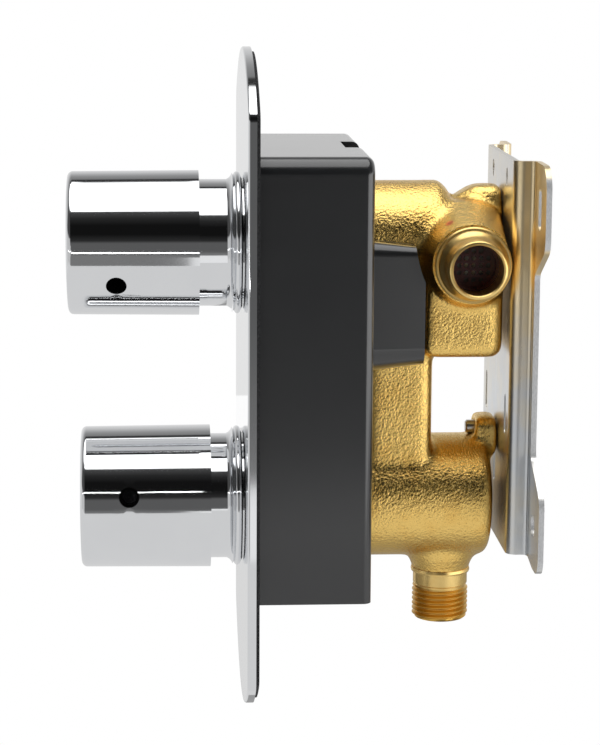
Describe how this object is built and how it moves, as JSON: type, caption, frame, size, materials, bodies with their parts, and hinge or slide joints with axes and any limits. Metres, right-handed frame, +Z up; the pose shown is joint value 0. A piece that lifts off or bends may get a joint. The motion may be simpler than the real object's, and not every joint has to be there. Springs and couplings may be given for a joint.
{
  "type": "thermostatic shower valve",
  "caption": "Concealed thermostatic shower valve with arched chrome faceplate, temperature and flow knobs, plaster guard, cast brass body and wall bracket.",
  "frame": {"origin": "wall face of the bracket, half-way between the centres of its two lower fixing holes", "axes": "+Z up along the longer side of the faceplate, +Y into the wall, -Y out of the front towards the user, +X towards the hot inlet"},
  "size_m": [0.122, 0.1679, 0.2419],
  "materials": {
    "chrome": "mirror polished plate",
    "cast_brass": "sand cast, machined at the ends",
    "machined_brass": "turned",
    "zinc_steel": "bright zinc plated sheet",
    "guard_plastic": "satin moulded",
    "black_foam": "closed cell foam",
    "black_rubber": "smooth",
    "white_plastic": "moulded",
    "red_plastic": "moulded",
    "filter_plastic": "moulded, dark red",
    "grey_plastic": "moulded",
    "ceramic": "lapped",
    "spring_steel": "drawn wire",
    "copper": "drawn",
    "black_steel": "black oxide"
  },
  "bodies": {
    "valve": {"wall_bracket": "zinc_steel", "bracket_screws": "zinc_steel", "valve_body": "cast_brass", "plaster_guard": "guard_plastic", "faceplate": "chrome", "faceplate_seal": "black_foam", "thermostat_shroud": "chrome", "flow_shroud": "chrome", "shroud_o_rings": "black_rubber", "thermostat_gland_nut": "machined_brass", "flow_gland_nut": "machined_brass", "temperature_stop_ring": "red_plastic", "spindle_o_rings": "black_rubber", "thermostat_cartridge_housing": "machined_brass", "thermostat_cartridge_seals": "black_rubber", "thermostat_spring_retainer": "machined_brass", "thermostat_return_spring": "spring_steel", "flow_headwork_body": "machined_brass", "flow_headwork_seal": "black_rubber", "fixed_ceramic_disc": "ceramic", "flow_seat_seal": "black_rubber", "hot_check_valve_body": "grey_plastic", "hot_check_spring": "spring_steel", "cold_check_valve_body": "grey_plastic", "cold_check_spring": "spring_steel", "inlet_filters": "filter_plastic"},
    "temperature_control": {"thermostat_knob": "chrome", "thermostat_knob_insert": "grey_plastic", "thermostat_grub_screw": "black_steel", "thermostat_spindle": "machined_brass"},
    "mixing_unit": {"regulating_nut": "white_plastic", "wax_element": "copper", "mixing_shuttle": "white_plastic"},
    "flow_control": {"flow_knob": "chrome", "flow_knob_insert": "grey_plastic", "flow_grub_screw": "black_steel", "flow_spindle": "machined_brass", "moving_ceramic_disc": "ceramic"},
    "hot_poppet": {"hot_check_poppet": "white_plastic"},
    "cold_poppet": {"cold_check_poppet": "white_plastic"}
  },
  "joints": [
    {"name": "temperature_turn", "type": "hinge", "parent": "valve", "child": "temperature_control", "pos_m": [0, -0.1, 0.0965], "axis": [0, -1, 0], "range_deg": [-200, 100]},
    {"name": "mixing_slide", "type": "slide", "parent": "valve", "child": "mixing_unit", "axis": [0, 1, 0], "range_m": [-0.001, 0.002], "deforming": ["thermostat_return_spring"]},
    {"name": "flow_turn", "type": "hinge", "parent": "valve", "child": "flow_control", "pos_m": [0, -0.1, 0.0014], "axis": [0, -1, 0], "range_deg": [0, 90]},
    {"name": "hot_poppet_slide", "type": "slide", "parent": "valve", "child": "hot_poppet", "axis": [-1, 0, 0], "range_m": [0, 0.0025], "stiffness_N_per_m": 120, "springref_m": -0.001, "deforming": ["hot_check_spring"]},
    {"name": "cold_poppet_slide", "type": "slide", "parent": "valve", "child": "cold_poppet", "axis": [1, 0, 0], "range_m": [0, 0.0025], "stiffness_N_per_m": 120, "springref_m": -0.001, "deforming": ["cold_check_spring"]}
  ],
  "couplings": [
    {"joint": "mixing_slide", "follows": "temperature_turn", "m_per_rad": -0.00057296}
  ]
}
